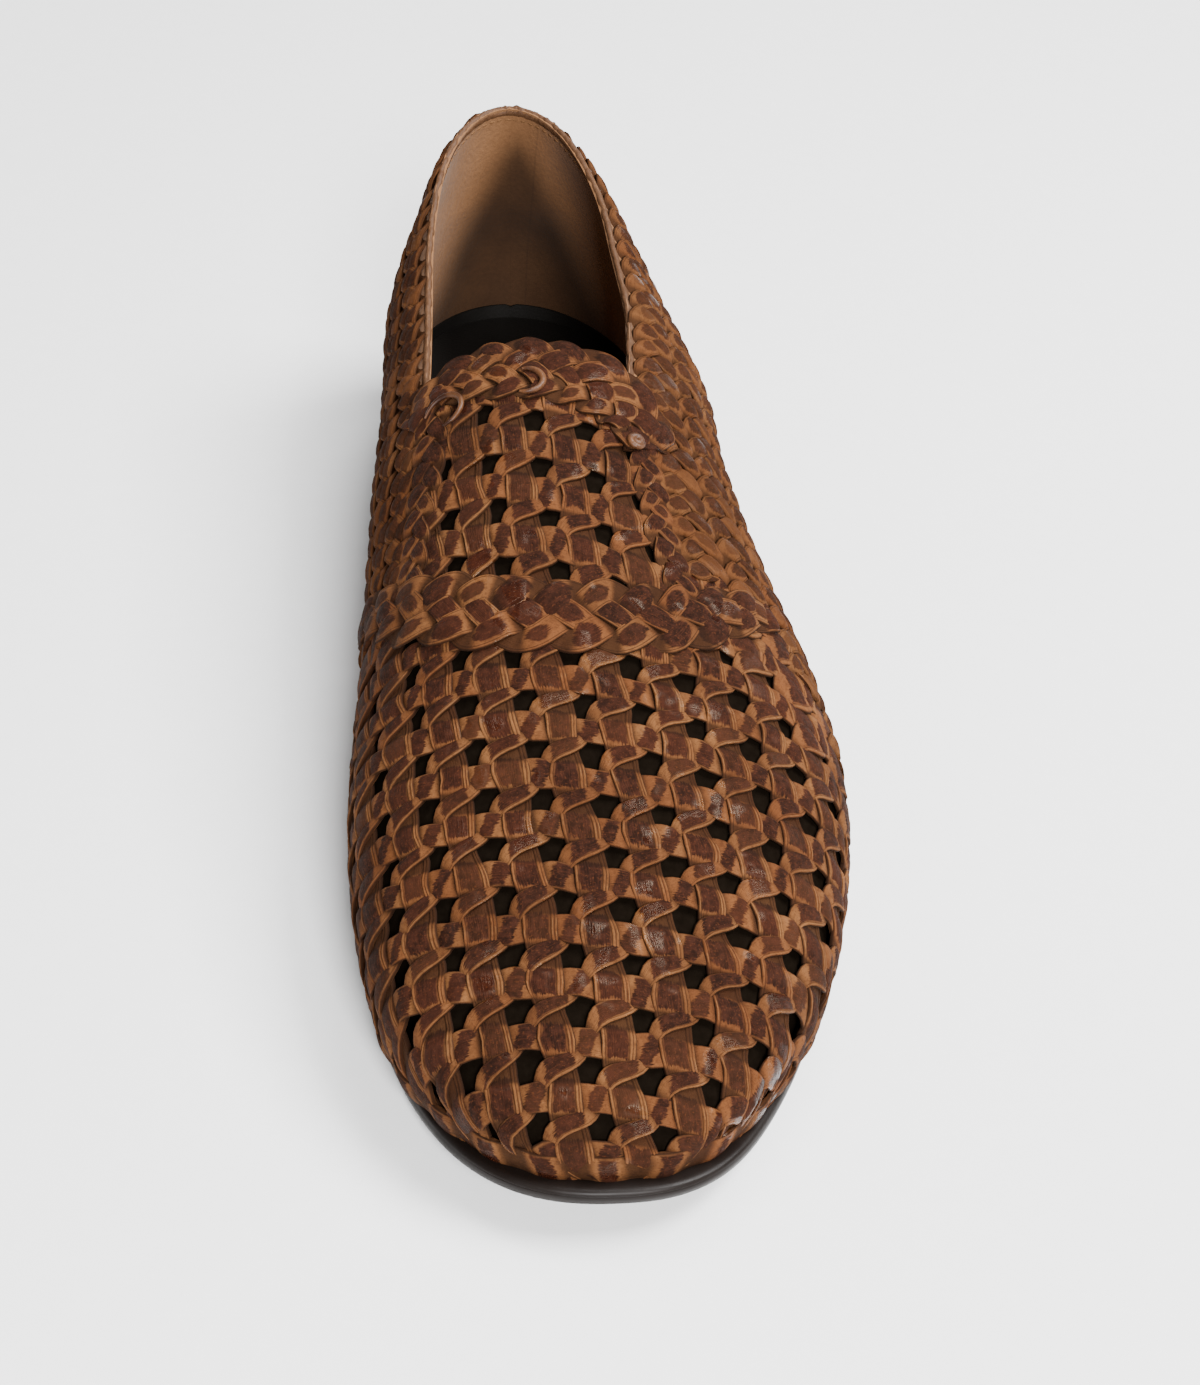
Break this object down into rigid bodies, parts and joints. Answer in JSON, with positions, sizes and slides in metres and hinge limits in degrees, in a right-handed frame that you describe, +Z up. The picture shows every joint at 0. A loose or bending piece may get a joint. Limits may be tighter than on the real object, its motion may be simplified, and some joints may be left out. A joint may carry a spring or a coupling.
{
  "type": "woven leather loafer",
  "caption": "Woven leather slip-on loafer for the left foot: open triaxial weave, braided apron and throat edge, bound top line, leather sole, low stacked heel.",
  "frame": {"origin": "on the ground, under the centre of the shoe's bounding box", "axes": "+Z up; the toe points along -Y and the heel along +Y; +X is the outer (little toe) side of this left shoe"},
  "size_m": [0.1113, 0.2999, 0.0931],
  "materials": {
    "woven_leather": "burnished caramel and dark brown leather strips, semi-gloss",
    "braided_leather": "burnished caramel and dark brown leather, semi-gloss",
    "binding_leather": "tan leather, satin",
    "insole_black": "smooth black leather, matt",
    "sole_edge": "dark brown edge dressing, polished",
    "stacked_leather": "dark brown stacked leather, polished",
    "heel_rubber": "black rubber, matt"
  },
  "bodies": {
    "root": {"upper": "woven_leather", "apron_braid": "braided_leather", "throat_braid": "braided_leather", "topline_binding": "binding_leather", "insole": "insole_black", "outsole": "sole_edge", "heel_stack": "stacked_leather", "top_lift": "heel_rubber"}
  },
  "joints": []
}
